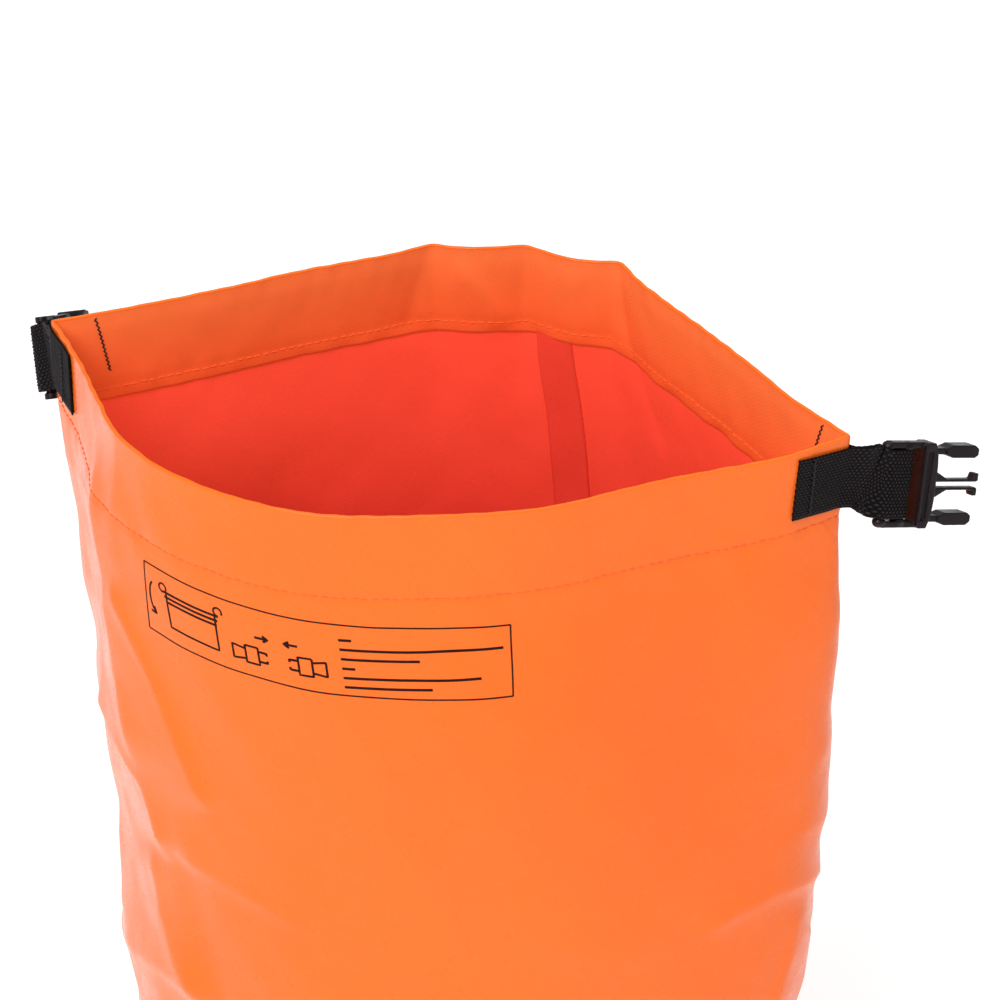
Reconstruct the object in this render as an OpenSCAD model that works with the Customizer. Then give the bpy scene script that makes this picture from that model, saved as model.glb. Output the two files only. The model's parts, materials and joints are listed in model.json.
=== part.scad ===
// Roll-top dry bag: welded coated-fabric tube with a round base, a hemmed mouth
// with a stiffening blade, and a side-release buckle on two short webbing straps.
// Millimetres. Origin at the centre of the base, +Z up, the mouth's long axis
// along X with the buckle plug at +X and the socket at -X, front face at -Y.

/* [Bag] */
// Height of the open bag from the floor to the rim
bag_height = 560; // [420:10:700]
// Width of the bag when it lies flat
flat_width = 371; // [300:1:440]
// Thickness of the coated fabric
fabric_t = 0.8; // [0.6:0.1:1.2]
// Height of the base's turned-up welded edge
base_band_h = 22; // [14:1:30]
// Width of the welded overlap where the panel's edges meet
lap_width = 15; // [12:1:20]

/* [Hem] */
// Depth of the folded-in hem
hem_depth = 38; // [34:1:44]
// Distance from the rim down to the stitch line
stitch_drop = 33; // [31:1:34]
// Space between the hem's two layers
hem_gap = 1.4; // [1.2:0.1:2]
// Width of the stiffening blade in the front hem
blade_width = 25; // [18:1:27]
// Thickness of the stiffening blade
blade_t = 1.0; // [0.6:0.1:1.1]

/* [Webbing] */
// Width of the webbing
web_width = 25; // [20:1:25]
// Thickness of the webbing
web_t = 1.3; // [1:0.1:1.4]
// Length of each sewn tab, along the bag's face
tab_length = 23; // [18:1:30]
// Distance from the rim down to the webbing's top edge
tab_drop = 2.2; // [2:0.2:4]
// Distance from the mouth's corner to each buckle bar, seen from above
strap_reach = 12.6; // [11:0.2:15]
// How far the buckle pulls each strap's end down
strap_drop = 8; // [5:0.5:9]

/* [Buckle] */
// Outside width of the plug's front plate and of the socket
buckle_width = 31; // [31:0.5:33]
// Direction of the plug seen from above, in degrees from +X
plug_yaw = 43; // [35:1:55]
// How far the plug hangs down from level, in degrees
plug_droop = 16; // [8:1:24]
// How far the plug is twisted about its own length, in degrees
plug_roll = 16; // [0:1:18]
// Direction from the mouth's corner to the socket's bar, in degrees from +X
socket_strap_yaw = 136; // [130:1:150]
// Direction of the socket seen from above, in degrees from +X
socket_yaw = 88; // [80:1:95]
// How far the socket hangs down from level, in degrees
socket_droop = 26; // [10:1:28]
// How far the socket is twisted about its own length, in degrees
socket_roll = 15; // [0:1:18]

/* [Hidden] */

body_r = flat_width / PI;
mouth_half = 0.4 * flat_width;    // half the open mouth's length
mouth_bulge = 0.27 * flat_width;  // how far each face stands out at the mouth
front_skew = 0.3;                 // the front face is deepest left of the middle
fullness = 0.7;                   // below 1, the bag keeps its width further down
sway = 5;                         // the bag's middle stands this far towards +X
round_top = base_band_h + 3;      // the tube is round up to here
heel_r = 3;                       // the base's outer edge is rounded this much
foot_z = heel_r + 0.1;            // the tube stands just above the heel's bend
clear = 0.1;                      // gap between parts that touch
chord_gap = 0.3;                  // the same, where two facetings differ

column_step = 5;                  // degrees between the columns of the tube
wall_levels = 12;                 // rings up the wall
lap_start = 79.4;                   // angle of the lap's edge round the tube
thread_r = 0.25;
blade_drop = 5;                   // rim to the blade's top edge
corner_gap = 2.2;                 // bare fabric between a tab and the mouth's corner
hem_inset = 2 * fabric_t + hem_gap;  // outer face to the hem's inner face

bar_r = 1.6;                      // the bars that the webbing wraps
rear_bar_r = 1.9;
rail_w = 2.3;
wrap_r = rear_bar_r + clear;      // inner radius of the webbing round a bar
strap_z = bag_height - tab_drop - web_width / 2;
corner_out = 1;                   // each strap bends this far outside the corner
strap_start = 2.4;                // and its free part starts this far from there
plug_corner = [mouth_half + corner_out, 0, strap_z];
socket_corner = [-mouth_half - corner_out, 0, strap_z];
plug_bar = bar_place(plug_corner, plug_yaw);
socket_bar = bar_place(socket_corner, socket_strap_yaw);

mid_bar_x = 8;                    // plug: from the rear bar to the wrapped bar
plate_x = 14;                     // plug: where its front plate begins
plate_front = 20.5;
plate_bow = 2;                    // plug: the plate's front edge is bowed this much
plate_t = 7.6;
arm_tip_x = 38.5;
arm_root_x = plate_front + 0.3;
root_gap = 0.2;                   // plug: room for an arm to bend at its root
prong_extra = 2.3;                // plug: the guide prongs reach this far past the arms
arm_z = 12.3;                     // plug: arm's line from the middle
arm_stem = 1.15;                  // plug: half the arm's depth at its stem
arm_head = 2.3;                   // plug: half the arm's depth at its head
head_length = 12.5;               // plug: length of an arm's latch head

socket_rear_x = 6.5;              // socket: where its hollow body begins
socket_mouth_x = 34;
socket_t = 11;
cavity_x = 12;
cavity_t = 7;
cavity_half = 14;
window_x = 13;                    // socket: its windows start here, with a round end
window_length = 15.5;
grip_r = 9;                       // the flat faces are scooped by this radius
grip_depth = 3;                   // and this much is taken off each of their edges
loop_r = 3;                       // inside of the slack loop round the socket's bar
loop_slack = 1;                   // its middle lies this far beyond the bar

// Where a strap that leaves a corner in this direction holds its bar
function bar_place(corner, yaw) =
    corner + strap_reach * [cos(yaw), sin(yaw), 0] - [0, 0, strap_drop];

// ---- the fabric tube ------------------------------------------------------

// 0 where the tube is round, 1 at the mouth
function rise(z) = max(0, (z - round_top) / (bag_height - round_top));

// Point on the tube at angle t and height z, moved inwards by inset
function wall_point(t, z, inset) =
    let (
        k = pow(rise(z), fullness),
        half_x = body_r + (mouth_half - body_r) * k - inset * (1 + 0.5 * k),
        half_y = body_r + (mouth_bulge - body_r) * k - inset,
        side = sin(t) < 0 ? 1 - front_skew * k * k * cos(t) : 1
    )
    [half_x * cos(t) + sway * sin(180 * rise(z)),
     half_y * side * sign(sin(t)) * pow(abs(sin(t)), 1 + k * k),
     z];

// Angle at a distance along the mouth from the corner; speed is the length of
// curve per unit of (1 - cosine) there
function corner_angle(distance, skew) =
    let (speed = norm([mouth_half, 2 * mouth_bulge * (1 + skew)]))
    acos(1 - distance / speed);

function levels(z0, z1, n) = [for (i = [0:n]) z0 + (z1 - z0) * i / n];

// Heights of the rings up the wall: the round part is one straight band
function wall_heights(top) = concat([foot_z], levels(round_top, top, wall_levels));

function reversed(list) = [for (i = [len(list) - 1:-1:0]) list[i]];

// Two triangles for the quad a-b-c-d
function quad(a, b, c, d) = [[a, b, c], [a, c, d]];

function flat_list(lists) = [for (l = lists) each l];

// A closed loop of [z, inset] points carried all the way round the tube
module ring_solid(loop) {
    n = len(loop);
    columns = 360 / column_step;
    points = [for (i = [0:columns - 1]) for (p = loop)
        wall_point(i * column_step, p[0], p[1])];
    faces = flat_list([for (i = [0:columns - 1]) for (j = [0:n - 1])
        let (i2 = (i + 1) % columns, j2 = (j + 1) % n)
        quad(i * n + j, i * n + j2, i2 * n + j2, i2 * n + j)]);
    polyhedron(points, faces, convexity = 8);
}

// A curved plate on the tube between two angles, two heights and two insets
module wall_patch(t0, t1, nt, zs, inset_out, inset_in) {
    nz = len(zs);
    side = (nt + 1) * nz;
    points = [for (inset = [inset_out, inset_in]) for (i = [0:nt]) for (z = zs)
        wall_point(t0 + (t1 - t0) * i / nt, z, inset)];
    faces = flat_list(concat(
        [for (i = [0:nt - 1]) for (j = [0:nz - 2])
            let (a = i * nz + j, b = a + nz) quad(a, a + 1, b + 1, b)],
        [for (i = [0:nt - 1]) for (j = [0:nz - 2])
            let (a = side + i * nz + j, b = a + nz) quad(a, b, b + 1, a + 1)],
        [for (i = [0:nt - 1]) let (a = i * nz, b = a + nz)
            quad(a, b, side + b, side + a)],
        [for (i = [0:nt - 1]) let (a = i * nz + nz - 1, b = a + nz)
            quad(a, side + a, side + b, b)],
        [for (j = [0:nz - 2]) quad(j, side + j, side + j + 1, j + 1)],
        [for (j = [0:nz - 2]) let (a = nt * nz + j)
            quad(a, a + 1, side + a + 1, side + a)]
    ));
    polyhedron(points, faces, convexity = 4);
}

// Welded tube, with its top folded in and down to make the hem
module body_panel() {
    rim = bag_height;
    hem_z = rim - hem_depth;
    wall = wall_heights(hem_z);
    outside = [for (z = wall) [z, 0]];
    inside = [for (z = reversed(wall)) [z, fabric_t]];
    fold = [
        [rim - 16, 0], [rim - 0.8, 0], [rim - 0.2, 0.5],
        [rim, hem_inset / 2], [rim - 0.2, hem_inset - 0.5],
        [rim - 0.8, hem_inset], [rim - 16, hem_inset],
        [hem_z, hem_inset], [hem_z, hem_inset - fabric_t],
        [rim - 16, hem_inset - fabric_t], [rim - 1.4, hem_inset - fabric_t],
        [rim - 1.2, hem_inset / 2], [rim - 1.4, fabric_t], [rim - 16, fabric_t]
    ];
    color("darkorange") ring_solid(concat(outside, fold, inside));
}

// The panel's inner edge, welded behind its outer edge on the back face
module side_lap() {
    lap_angle = lap_width / (mouth_half + body_r) * 2 * 180 / PI;
    color("orangered")
        wall_patch(lap_start, lap_start + lap_angle, 3,
            wall_heights(bag_height - 3),
            fabric_t + chord_gap, 2 * fabric_t + chord_gap);
}

// Point at angle a on the bend between the base's floor and its turned-up edge
function heel_point(bend_x, r, a) = [bend_x + r * cos(a), heel_r + r * sin(a)];

// Round base with its edge turned up outside the tube
module base_cup() {
    inner_r = body_r + chord_gap;
    bend_x = inner_r + fabric_t - heel_r;
    color("darkorange") rotate_extrude($fn = 180)
        polygon(concat([[0, 0]],
            [for (a = [-90:15:0]) heel_point(bend_x, heel_r, a)],
            [[inner_r + fabric_t, base_band_h], [inner_r, base_band_h]],
            [for (a = [0:-15:-90]) heel_point(bend_x, heel_r - fabric_t, a)],
            [[0, fabric_t]]));
}

// Flat strip inside the front hem that the mouth is rolled round
module stiffening_blade() {
    top = bag_height - blade_drop;
    middle_inset = fabric_t + hem_gap / 2;
    color("whitesmoke")
        wall_patch(190, 350, 160 / column_step, levels(top - blade_width, top, 3),
            middle_inset - blade_t / 2, middle_inset + blade_t / 2);
}

// One lap of thread on each face of the hem, at the stitch line
module hem_thread() {
    z = bag_height - stitch_drop;
    color("orange") for (inset = [-clear - thread_r, hem_inset + clear + thread_r])
        ring_solid([for (a = [0:60:300])
            [z + thread_r * sin(a), inset - thread_r * cos(a)]]);
}

// ---- sewn webbing ---------------------------------------------------------

// The sewn end of a strap on one face; face is +1 for the back, -1 for the front
// and end is +1 for the plug's side, -1 for the socket's
module sewn_tab(face, end) {
    skew = face < 0 ? -end * front_skew : 0;
    near = corner_angle(corner_gap, skew);
    far = corner_angle(corner_gap + tab_length, skew);
    middle = end > 0 ? 0 : 180;
    turn = end * face;
    color("black") wall_patch(
        middle + (turn > 0 ? near : -far), middle + (turn > 0 ? far : -near), 6,
        levels(strap_z - web_width / 2, strap_z + web_width / 2, 3),
        -clear - web_t, -clear);
}

module plug_tab_front() { sewn_tab(-1, 1); }
module plug_tab_back() { sewn_tab(1, 1); }
module socket_tab_front() { sewn_tab(-1, -1); }
module socket_tab_back() { sewn_tab(1, -1); }

// Upright rows of thread at a tab, on the webbing and on the hem's inner face
module tab_stitches(end) {
    middle = end > 0 ? 0 : 180;
    color("black") for (face = [-1, 1]) {
        skew = face < 0 ? -end * front_skew : 0;
        t = middle + end * face * corner_angle(corner_gap + 0.6 * tab_length, skew);
        for (inset = [-web_t - 2 * clear - thread_r, hem_inset + clear + thread_r]) {
            foot = wall_point(t, strap_z - web_width / 2 + 1, inset);
            head = wall_point(t, strap_z + web_width / 2 - 1, inset);
            hull() {
                translate(foot) cylinder(r = thread_r, h = 0.5, $fn = 16);
                translate(head) cylinder(r = thread_r, h = 0.5, $fn = 16);
            }
        }
    }
}

module plug_tab_stitches() { tab_stitches(1); }
module socket_tab_stitches() { tab_stitches(-1); }

// ---- plug: built along +X from its rear bar, width along Z -----------------

module at_plug() {
    translate(plug_bar) rotate([-plug_roll, plug_droop, plug_yaw]) children();
}

// A thin slice across both layers of a strap
module strap_slice(width) {
    cube([0.1, 2 * web_t, width], center = true);
}

// Both layers of webbing between the mouth's corner and the plug
module plug_strap_free() {
    end_x = -(wrap_r + web_t + 1);
    color("black") hull() {
        translate(plug_corner) rotate([0, 0, plug_yaw])
            translate([strap_start, 0, 0]) strap_slice(web_width);
        at_plug() translate([end_x, 0, 0]) strap_slice(web_width);
    }
}

// The webbing inside the plug: over the rear bar and round the middle bar
module plug_strap_wrap() {
    back_x = -1.4;
    length = mid_bar_x - back_x;
    color("black") at_plug() difference() {
        union() {
            translate([mid_bar_x, 0, 0])
                cylinder(r = wrap_r + web_t, h = web_width, center = true, $fn = 48);
            translate([back_x + length / 2, 0, 0])
                cube([length, 2 * (wrap_r + web_t), web_width], center = true);
        }
        translate([mid_bar_x, 0, 0])
            cylinder(r = wrap_r, h = web_width + 2, center = true, $fn = 48);
        translate([mid_bar_x / 2 - 2, 0, 0])
            cube([mid_bar_x + 4, 2 * wrap_r, web_width + 2], center = true);
    }
}

// A bar along Z with domed ends
module domed_bar(r, length) {
    straight = length - 2 * r;
    cylinder(r = r, h = straight, center = true, $fn = 40);
    for (s = [-1, 1]) translate([0, 0, s * straight / 2]) sphere(r = r, $fn = 40);
}

// One thin guide prong with its root gusset and outward tip, above the middle
module guide_prong() {
    inner_z = 1;
    outer_z = inner_z + 1;
    tip_x = arm_tip_x + prong_extra;
    tip_z = inner_z + 3.1;
    tip_length = 2.6;
    rotate([90, 0, 0]) linear_extrude(3.6, center = true)
        polygon([[plate_front - 1, inner_z], [tip_x - 0.6, inner_z],
                 [tip_x, inner_z + 0.6], [tip_x, tip_z], [tip_x - tip_length + 0.6, tip_z],
                 [tip_x - tip_length, outer_z], [plate_front + 6.5, outer_z],
                 [plate_front - 1, outer_z + 4]]);
}

// Outline of the front plate, in X and Z, with its front edge bowed
function plate_outline() =
    let (half = buckle_width / 2)
    concat(
        [for (i = [-4:4]) [plate_front - plate_bow * pow(i / 4, 4), half * i / 4]],
        [[plate_x + 1, half], [plate_x, half - 1], [plate_x, 1 - half],
         [plate_x + 1, -half]]);

// Frame of the plug: bars for the webbing, rails, front plate, the arms' roots
// and guide prongs
module plug_frame() {
    rail_z = (buckle_width - rail_w) / 2;
    color([0.1, 0.1, 0.11]) at_plug() {
        domed_bar(rear_bar_r, buckle_width + 0.6);
        translate([mid_bar_x, 0, 0])
            cylinder(r = bar_r, h = buckle_width - rail_w, center = true, $fn = 40);
        for (s = [-1, 1]) translate([plate_x / 2 + 0.5, 0, s * rail_z])
            cube([plate_x + 1, 4.2, rail_w], center = true);
        rotate([90, 0, 0]) linear_extrude(plate_t, center = true)
            polygon(plate_outline());
        for (s = [-1, 1]) translate([plate_front - 1, -2.3, s * arm_z - arm_stem])
            cube([1 + arm_root_x - root_gap - plate_front, 4.6, 2 * arm_stem]);
        for (s = [0, 1]) mirror([0, 0, s]) guide_prong();
    }
}

// Springy arm with its latch head, above the middle
module latch_arm() {
    stem_end = arm_tip_x - head_length;
    rotate([90, 0, 0]) {
        linear_extrude(4.6, center = true)
            polygon([[arm_root_x, arm_z - arm_stem], [stem_end, arm_z - arm_stem],
                     [stem_end, arm_z + arm_stem], [arm_root_x, arm_z + arm_stem]]);
        linear_extrude(6, center = true)
            polygon([[stem_end - 2, arm_z - arm_stem], [stem_end + 1, arm_z - arm_head],
                     [arm_tip_x - 1.5, arm_z - arm_head], [arm_tip_x, arm_z - 1.2],
                     [arm_tip_x, arm_z + 1], [arm_tip_x - 1.8, arm_z + arm_head],
                     [stem_end + 1, arm_z + arm_head], [stem_end - 2, arm_z + arm_stem]]);
    }
}

module upper_latch_arm() {
    color([0.12, 0.12, 0.13]) at_plug() latch_arm();
}

module lower_latch_arm() {
    color([0.12, 0.12, 0.13]) at_plug() mirror([0, 0, 1]) latch_arm();
}

// ---- socket: built along +X from its bar, width along Z ---------------------

module at_socket() {
    translate(socket_bar) rotate([-socket_roll, socket_droop, socket_yaw]) children();
}

// Webbing from the mouth's corner, round the socket's bar and back
module socket_strap_loop() {
    reach = loop_r + 0.7 - loop_slack;
    bend = socket_strap_yaw - socket_yaw;
    color("black") {
        at_socket() rotate([0, 0, bend]) translate([loop_slack, 0, 0]) difference() {
            cylinder(r = loop_r + web_t, h = web_width, center = true, $fn = 48);
            cylinder(r = loop_r, h = web_width + 4, center = true, $fn = 48);
        }
        hull() {
            translate(socket_corner) rotate([0, 0, socket_strap_yaw])
                translate([strap_start, 0, 0]) strap_slice(web_width);
            at_socket() rotate([0, 0, bend]) translate([-reach, 0, 0])
                strap_slice(web_width - 0.2);
        }
    }
}

// Outline of the socket's flat side, from bar end to mouth, in X and Z
function socket_outline() =
    let (h = buckle_width / 2)
    [[socket_rear_x, h - 2], [socket_rear_x + 2, h - 0.4], [14, h],
     [socket_mouth_x - 4.5, h + 0.8], [socket_mouth_x - 1.5, h + 0.1],
     [socket_mouth_x, h - 0.8], [socket_mouth_x, 0.8 - h],
     [socket_mouth_x - 1.5, -h - 0.1], [socket_mouth_x - 4.5, -h - 0.8], [14, -h],
     [socket_rear_x + 2, -h + 0.4], [socket_rear_x, -h + 2]];

// Edge view of the socket, in X and Y
function socket_profile() =
    let (h = socket_t / 2)
    [[socket_rear_x, h - 2.2], [socket_rear_x + 5, h - 0.4], [20, h],
     [socket_mouth_x - 1.5, h], [socket_mouth_x, h - 0.8],
     [socket_mouth_x, -h + 0.8], [socket_mouth_x - 1.5, -h], [20, -h],
     [socket_rear_x + 5, -h + 0.4], [socket_rear_x, -h + 2.2]];

// Hollow body that takes the plug, with a release window at each edge
module socket_body() {
    rail_z = (buckle_width - rail_w) / 2;
    color([0.1, 0.1, 0.11]) at_socket() {
        cylinder(r = bar_r, h = buckle_width - rail_w, center = true, $fn = 40);
        for (s = [-1, 1]) translate([0, 0, s * rail_z]) {
            translate([socket_rear_x / 2 + 0.5, 0, 0])
                cube([socket_rear_x + 1, 4.8, rail_w], center = true);
            cylinder(r = 2.4, h = rail_w, center = true, $fn = 40);
        }
        difference() {
            intersection() {
                rotate([90, 0, 0]) linear_extrude(socket_t + 1, center = true)
                    polygon(socket_outline());
                linear_extrude(buckle_width + 3, center = true)
                    polygon(socket_profile());
            }
            translate([cavity_x, -cavity_t / 2, -cavity_half])
                cube([socket_mouth_x, cavity_t, 2 * cavity_half]);
            translate([window_x + cavity_t / 2, 0, 0]) {
                cylinder(d = cavity_t, h = 2 * buckle_width, center = true, $fn = 48);
                translate([0, -cavity_t / 2, -buckle_width])
                    cube([window_length - cavity_t / 2, cavity_t, 2 * buckle_width]);
            }
            for (s = [-1, 1])
                translate([window_x + window_length / 2, 0,
                           s * (buckle_width / 2 + grip_r - grip_depth)])
                    rotate([90, 0, 0])
                        cylinder(r = grip_r, h = socket_t + 2, center = true, $fn = 72);
        }
    }
}

body_panel();
side_lap();
base_cup();
stiffening_blade();
hem_thread();
plug_tab_front();
plug_tab_back();
socket_tab_front();
socket_tab_back();
plug_tab_stitches();
socket_tab_stitches();
plug_strap_free();
plug_strap_wrap();
plug_frame();
upper_latch_arm();
lower_latch_arm();
socket_strap_loop();
socket_body();
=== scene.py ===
import json
import math

import bpy
import numpy as np
from mathutils import Matrix, Vector


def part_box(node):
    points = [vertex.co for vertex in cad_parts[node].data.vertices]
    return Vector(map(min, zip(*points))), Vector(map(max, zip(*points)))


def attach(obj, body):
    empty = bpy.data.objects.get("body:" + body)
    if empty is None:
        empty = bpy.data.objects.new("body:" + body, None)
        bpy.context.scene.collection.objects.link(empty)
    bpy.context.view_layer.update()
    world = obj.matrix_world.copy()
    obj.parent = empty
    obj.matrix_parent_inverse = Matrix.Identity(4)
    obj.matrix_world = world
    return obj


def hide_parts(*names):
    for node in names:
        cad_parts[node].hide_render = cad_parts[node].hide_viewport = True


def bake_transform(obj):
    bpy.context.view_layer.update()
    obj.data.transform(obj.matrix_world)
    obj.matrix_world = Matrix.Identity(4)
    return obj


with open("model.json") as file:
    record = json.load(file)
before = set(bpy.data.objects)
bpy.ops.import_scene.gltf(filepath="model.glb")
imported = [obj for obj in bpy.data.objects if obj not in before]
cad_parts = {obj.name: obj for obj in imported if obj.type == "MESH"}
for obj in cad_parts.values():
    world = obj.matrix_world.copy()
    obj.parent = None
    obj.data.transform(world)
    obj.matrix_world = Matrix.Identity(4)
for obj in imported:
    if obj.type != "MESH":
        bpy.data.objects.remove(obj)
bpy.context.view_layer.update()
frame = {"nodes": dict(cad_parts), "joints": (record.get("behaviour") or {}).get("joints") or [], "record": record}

# Lengths below are in millimetres, and become metres when a mesh is made.
MM = 0.001
scene = bpy.context.scene
rng = np.random.default_rng(7)


# ---- camera ------------------------------------

def make_camera():
    data = bpy.data.cameras.new("camera")
    data.lens, data.sensor_width = 127.44, 36
    camera = bpy.data.objects.new("camera", data)
    forward = Vector((-0.2303, 0.8064, -0.5446)).normalized()
    right = Vector((forward.y, -forward.x, 0)).normalized()
    up = right.cross(forward)
    place = Matrix((right, up, -forward)).transposed().to_4x4()
    place.translation = (0.317, -1.039, 1.213)
    camera.matrix_world = place
    scene.collection.objects.link(camera)
    scene.camera = camera


make_camera()

# ---- numbers from the CAD frame ----------------

joint_at = {j["name"]: np.array(j["pos_m"]) * 1000 for j in frame["joints"]}
joint_axis = {j["name"]: np.array(j["axis"], float) for j in frame["joints"]}
mount_axis = {m["name"]: np.array(m["axis"], float) for m in frame["record"]["mounts"]}
RIM_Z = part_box("body_panel")[1].z * 1000
FOOT_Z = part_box("body_panel")[0].z * 1000
PLUG_CORNER, PLUG_BAR = joint_at["plug_strap_swing"], joint_at["plug_swivel"]
SOCKET_CORNER, SOCKET_BAR = joint_at["socket_strap_swing"], joint_at["socket_swivel"]

GIRTH = 742.0            # once round the tube
BASE_R = GIRTH / (2 * math.pi)
FABRIC = 0.8
ROUND_TOP = 25           # the tube is round below this height
FULLNESS = 0.7           # how early the round foot goes over to the mouth's outline
SWAY = 5                 # the bag's middle stands this far towards +X
HEM_DEPTH, STITCH_DROP = 38.0, 33.0
FOLD_T, FOLD_H = 1.6, 0.6      # the hem's thickness at the rim, and the height of its bend
WEB_W, WEB_T = 25.0, 1.35      # the webbing's width and thickness
TAB_DROP = RIM_Z - PLUG_CORNER[2] - WEB_W / 2
TAB_LENGTH, CORNER_GAP = 23.0, 2.2
PLUG_TAB_END = 22.5                       # from the mouth's corner to the end of the plug's tabs
TAB_FAR_DROP, TAB_NEAR_DROP = 0.3, 2.1    # they slant: this much lower at their end and at the corner
BAND_H, HEEL_R, BAND_R = 22.0, 3.0, BASE_R + 0.3 + FABRIC      # the base's turned-up edge
FLOOR_R = 4.0                  # the floor is closed by one flat face inside this radius
LAP_A, LAP_W = 534.6, 15.0     # where the panel's overlap starts, and its width
BLADE_FROM, BLADE_TO = 28, 342       # the blade runs between these distances round the bag
SPACING_WEB = 0.37             # between the points of a swept strip
LOOP_R, LOOP_SLACK = 3.65, 1.0  # the slack loop round the socket's bar


def buckle_axes(ahead, width):
    """A buckle half's own axes, as columns: ahead, thickness, width."""
    return np.stack([ahead, np.cross(width, ahead), width], axis=1)


PLUG_AXES = buckle_axes(mount_axis["plug_end"], joint_axis["plug_swivel"])
SOCKET_AXES = buckle_axes(mount_axis["socket_end"], joint_axis["socket_swivel"])


# ---- meshes ------------------------------------

def make_mesh(name, verts, faces, uv=None):
    """A smooth mesh object from points in millimetres."""
    mesh = bpy.data.meshes.new(name)
    mesh.from_pydata((np.asarray(verts, float) * MM).tolist(), [], [list(map(int, f)) for f in faces])
    if uv is not None:
        layer = mesh.uv_layers.new(name="flat")
        loops = np.empty(len(mesh.loops), dtype=np.int32)
        mesh.loops.foreach_get("vertex_index", loops)
        layer.data.foreach_set("uv", (np.asarray(uv)[loops] * MM).astype(np.float32).ravel())
    mesh.update()
    mesh.polygons.foreach_set("use_smooth", [True] * len(mesh.polygons))
    obj = bpy.data.objects.new(name, mesh)
    scene.collection.objects.link(obj)
    return obj


def grid_faces(rows, columns, close_rows=False, close_columns=False):
    """Quads of a grid of points that is stored row by row."""
    r = np.arange(rows if close_rows else rows - 1)
    c = np.arange(columns if close_columns else columns - 1)
    r, c = np.meshgrid(r, c, indexing="ij")
    r2, c2 = (r + 1) % rows, (c + 1) % columns
    return np.stack([r * columns + c, r * columns + c2, r2 * columns + c2, r2 * columns + c],
                    axis=-1).reshape(-1, 4)


def tube_faces(rings, sides):
    """A closed tube of rings: its quads, then its first and last face."""
    return (grid_faces(rings, sides, close_columns=True).tolist()
            + [list(range(sides)), list(range((rings - 1) * sides, rings * sides))[::-1]])


def flipped(faces):
    return [f[::-1] for f in faces]


def unit(v):
    """Vectors made one long."""
    return v / np.linalg.norm(v, axis=-1, keepdims=True)


def distances(points):
    """How far along a line each of its points is."""
    return np.concatenate([[0], np.cumsum(np.linalg.norm(np.diff(points, axis=0), axis=1))])


def at_distances(wanted, s, points):
    """The points that lie at the wanted distances along a line."""
    return np.stack([np.interp(wanted, s, points[:, k]) for k in range(points.shape[1])], axis=1)


def join_parts(name, parts):
    """One mesh object from parts, each of points and faces."""
    verts, faces, count = [], [], 0
    for v, f in parts:
        verts.append(v)
        faces += [[i + count for i in one] for one in f]
        count += len(v)
    return make_mesh(name, np.concatenate(verts), faces)


def finish(obj, body, replaced=(), material=None):
    """Hang the piece on the body it rides on, hide the CAD parts it stands for, and give it its material."""
    if body:
        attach(obj, body)
    if replaced:
        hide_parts(*replaced)
    if material:
        obj.data.materials.append(material)


def step(x, low=0.0, high=1.0):
    """Smoothly from 0 at low to 1 at high."""
    t = np.clip((np.asarray(x, float) - low) / (high - low), 0, 1)
    return t * t * (3 - 2 * t)


def curve_through(points, spacing):
    """Evenly spaced points on a smooth curve through the given ones (any dimension)."""
    p = np.asarray(points, float)
    s = distances(p[:, :3])
    slope = np.gradient(p, s, axis=0)
    dense_s = np.linspace(0, s[-1], max(8, int(s[-1] / spacing * 4)))
    i = np.clip(np.searchsorted(s, dense_s) - 1, 0, len(s) - 2)
    h = (s[i + 1] - s[i])[:, None]
    t = (dense_s - s[i])[:, None] / h
    dense = ((2 * t**3 - 3 * t**2 + 1) * p[i] + (t**3 - 2 * t**2 + t) * h * slope[i]
             + (3 * t**2 - 2 * t**3) * p[i + 1] + (t**3 - t**2) * h * slope[i + 1])
    length = distances(dense[:, :3])
    even = np.linspace(0, length[-1], max(2, round(length[-1] / spacing) + 1))
    return at_distances(even, length, dense)


# ---- the open mouth's outline, seen from above ---
# The front goes from the socket's corner to the plug's, the back returns. Each
# list is a run of fabric between two kinks of the rim.
FRONT_RUNS = [
    [(-151.5, 0), (-134.5, -21), (-122, -38), (-110, -55), (-100, -68)],
    [(-100, -68), (-82, -82), (-66, -90), (-45, -96), (-22, -98), (0, -95), (21, -89), (43, -80),
     (62, -69), (80, -55), (102, -38), (133, -16), (148, 0)],
]
BACK_RUNS = [
    [(148, 0), (126, 18), (103, 40), (79, 62), (58, 80), (38, 99)],
    [(38, 99), (19, 98.5), (1, 102)],
    [(1, 102), (-15, 96), (-32, 93)],
    [(-32, 93), (-53, 77), (-75, 60), (-96, 42), (-121, 22), (-151.5, 0)],
]
COLUMNS = 480


def face_outline(runs):
    line = np.concatenate([curve_through(run, 0.5)[:-1] for run in runs] + [[runs[-1][-1]]])
    s = distances(line)
    return at_distances(np.linspace(0, s[-1], COLUMNS // 2 + 1)[:-1], s, line)


rim = np.concatenate([face_outline(FRONT_RUNS), face_outline(BACK_RUNS)])
arc = np.arange(COLUMNS) * GIRTH / COLUMNS          # distance round the bag, from the socket's corner
SPACING = GIRTH / COLUMNS
angle = math.pi + 2 * math.pi * np.arange(COLUMNS) / COLUMNS
circle = BASE_R * np.stack([np.cos(angle), np.sin(angle)], axis=1)


def soften(outline, sigma):
    """The closed outline smoothed along its length by sigma millimetres."""
    spectrum = np.fft.fft(outline[:, 0] + 1j * outline[:, 1])
    wave = np.fft.fftfreq(COLUMNS, SPACING) * 2 * math.pi
    line = np.fft.ifft(spectrum * np.exp(-0.5 * (wave * sigma) ** 2))
    return np.stack([line.real, line.imag], axis=1)


def girth_of(outline):
    return np.linalg.norm(np.roll(outline, -1, axis=0) - outline, axis=1).sum()


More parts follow.
